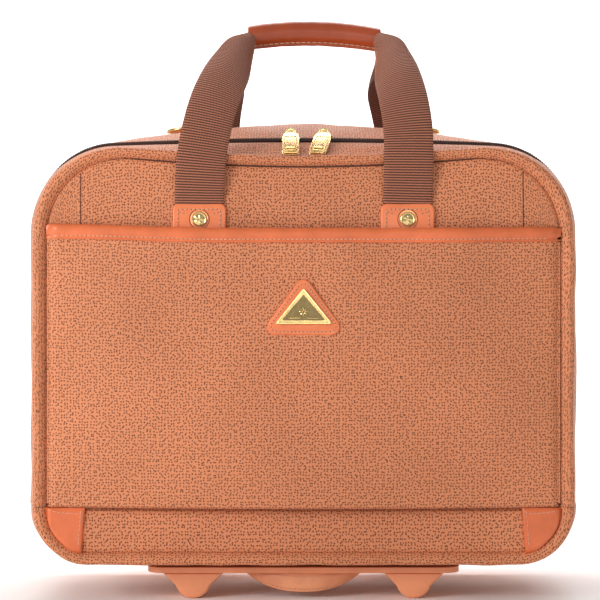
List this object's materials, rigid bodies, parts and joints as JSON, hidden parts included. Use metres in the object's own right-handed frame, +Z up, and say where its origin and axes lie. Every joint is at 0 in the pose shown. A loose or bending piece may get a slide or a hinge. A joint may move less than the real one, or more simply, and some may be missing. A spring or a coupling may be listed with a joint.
{
  "type": "pilot rolling flight case",
  "caption": "Soft-sided wheeled flight case with hinged zip lid, front pocket, webbing carry handles, telescopic trolley handle, wheels and feet.",
  "frame": {"origin": "on the floor, under the middle of the bounding box", "axes": "+X to the right seen from the front, +Y towards the back, +Z up"},
  "size_m": [0.43, 0.2114, 0.4595],
  "materials": {
    "caviar_fabric": "pebbled faux suede with small dark pits",
    "tan_leather": "smooth, soft gloss",
    "brown_webbing": "ribbed woven webbing",
    "zip_tape": "woven tape with coil teeth",
    "gold_metal": "polished pale gold",
    "lining_fabric": "plain woven lining",
    "stiff_board": "pressed board",
    "tan_plastic": "moulded, satin",
    "black_plastic": "moulded, fine grain",
    "tube_aluminium": "anodised satin",
    "steel": "plain",
    "tyre_rubber": "smooth rubber"
  },
  "bodies": {
    "case": {"main_gusset": "caviar_fabric", "rear_gusset": "caviar_fabric", "lower_gusset": "caviar_fabric", "lower_front_panel": "caviar_fabric", "back_panel": "caviar_fabric", "leather_corners": "tan_leather", "bottom_grab_handle": "tan_leather", "rear_tabs": "tan_leather", "ring_tabs": "tan_leather", "zip_tape_rear": "zip_tape", "rear_rivets": "gold_metal", "main_lining": "lining_fabric", "trolley_cover": "lining_fabric", "laptop_divider": "lining_fabric", "file_dividers": "lining_fabric", "back_board": "stiff_board", "base_board": "stiff_board", "base_plate": "tan_plastic", "front_feet": "tan_plastic", "wheel_housing_left": "tan_plastic", "wheel_housing_right": "tan_plastic", "trolley_bezel": "black_plastic", "outer_tubes": "tube_aluminium", "base_screws": "steel", "wheel_axles": "steel"},
    "front_lid": {"front_panel": "caviar_fabric", "front_gusset": "caviar_fabric", "zip_tape_front": "zip_tape", "lid_board": "stiff_board", "front_pocket": "caviar_fabric", "pocket_trim": "tan_leather", "badge_patch": "tan_leather", "badge_plate": "gold_metal", "front_tabs": "tan_leather", "front_rivets": "gold_metal"},
    "front_handle": {"front_strap": "brown_webbing", "grip_wrap": "tan_leather"},
    "rear_handle": {"rear_strap": "brown_webbing"},
    "zip_slider_left": {"slider_left": "gold_metal"},
    "zip_slider_right": {"slider_right": "gold_metal"},
    "zip_pull_left": {"pull_left": "gold_metal"},
    "zip_pull_right": {"pull_right": "gold_metal"},
    "ring_left": {"d_ring_left": "gold_metal"},
    "ring_right": {"d_ring_right": "gold_metal"},
    "wheel_left": {"tyre_left": "tyre_rubber", "hub_left": "tan_plastic", "bearings_left": "steel"},
    "wheel_right": {"tyre_right": "tyre_rubber", "hub_right": "tan_plastic", "bearings_right": "steel"},
    "trolley_middle": {"middle_tubes": "tube_aluminium", "middle_collars": "black_plastic"},
    "trolley_top": {"inner_tubes": "tube_aluminium", "trolley_grip": "black_plastic", "lock_plugs": "black_plastic", "button_spring": "steel"},
    "release_button": {"button": "black_plastic", "push_rods": "steel"},
    "pin_left": {"lock_pin_left": "steel"},
    "pin_right": {"lock_pin_right": "steel"}
  },
  "joints": [
    {"name": "lid_fold", "type": "hinge", "parent": "case", "child": "front_lid", "pos_m": [0, -0.0924, 0.0732], "axis": [1, 0, 0], "range_deg": [0, 45]},
    {"name": "front_handle_fold", "type": "hinge", "parent": "front_lid", "child": "front_handle", "pos_m": [0, -0.0934, 0.3082], "axis": [1, 0, 0], "range_deg": [0, 110]},
    {"name": "rear_handle_fold", "type": "hinge", "parent": "case", "child": "rear_handle", "pos_m": [0, 0.1026, 0.3082], "axis": [1, 0, 0], "range_deg": [-110, 0]},
    {"name": "zip_left", "type": "slide", "parent": "front_lid", "child": "zip_slider_left", "axis": [-1, 0, 0], "range_m": [0, 0.09]},
    {"name": "zip_right", "type": "slide", "parent": "front_lid", "child": "zip_slider_right", "axis": [1, 0, 0], "range_m": [0, 0.09]},
    {"name": "pull_left_swing", "type": "hinge", "parent": "zip_slider_left", "child": "zip_pull_left", "pos_m": [-0.01, -0.0464, 0.3666], "axis": [1, 0, 0], "range_deg": [-150, 0]},
    {"name": "pull_right_swing", "type": "hinge", "parent": "zip_slider_right", "child": "zip_pull_right", "pos_m": [0.016, -0.0464, 0.3666], "axis": [1, 0, 0], "range_deg": [-150, 0]},
    {"name": "ring_left_swing", "type": "hinge", "parent": "case", "child": "ring_left", "pos_m": [-0.098, 0.025, 0.3736], "axis": [0, 1, 0], "range_deg": [0, 100]},
    {"name": "ring_right_swing", "type": "hinge", "parent": "case", "child": "ring_right", "pos_m": [0.098, 0.025, 0.3736], "axis": [0, 1, 0], "range_deg": [-100, 0]},
    {"name": "wheel_left_spin", "type": "hinge", "parent": "case", "child": "wheel_left", "pos_m": [-0.086, 0.079, 0.02], "axis": [1, 0, 0], "continuous": true},
    {"name": "wheel_right_spin", "type": "hinge", "parent": "case", "child": "wheel_right", "pos_m": [0.086, 0.079, 0.02], "axis": [1, 0, 0], "continuous": true},
    {"name": "trolley_middle_slide", "type": "slide", "parent": "case", "child": "trolley_middle", "axis": [0, 0, 1], "range_m": [0, 0.235]},
    {"name": "trolley_top_slide", "type": "slide", "parent": "trolley_middle", "child": "trolley_top", "axis": [0, 0, 1], "range_m": [0, 0.235]},
    {"name": "button_press", "type": "slide", "parent": "trolley_top", "child": "release_button", "axis": [0, 0, -1], "range_m": [0, 0.004], "stiffness_N_per_m": 300, "deforming": ["button_spring"]},
    {"name": "pin_left_slide", "type": "slide", "parent": "trolley_top", "child": "pin_left", "axis": [1, 0, 0], "range_m": [0, 0.0015]},
    {"name": "pin_right_slide", "type": "slide", "parent": "trolley_top", "child": "pin_right", "axis": [-1, 0, 0], "range_m": [0, 0.0015]}
  ],
  "couplings": [
    {"joint": "pin_left_slide", "follows": "button_press", "ratio": 0.375},
    {"joint": "pin_right_slide", "follows": "button_press", "ratio": 0.375}
  ]
}
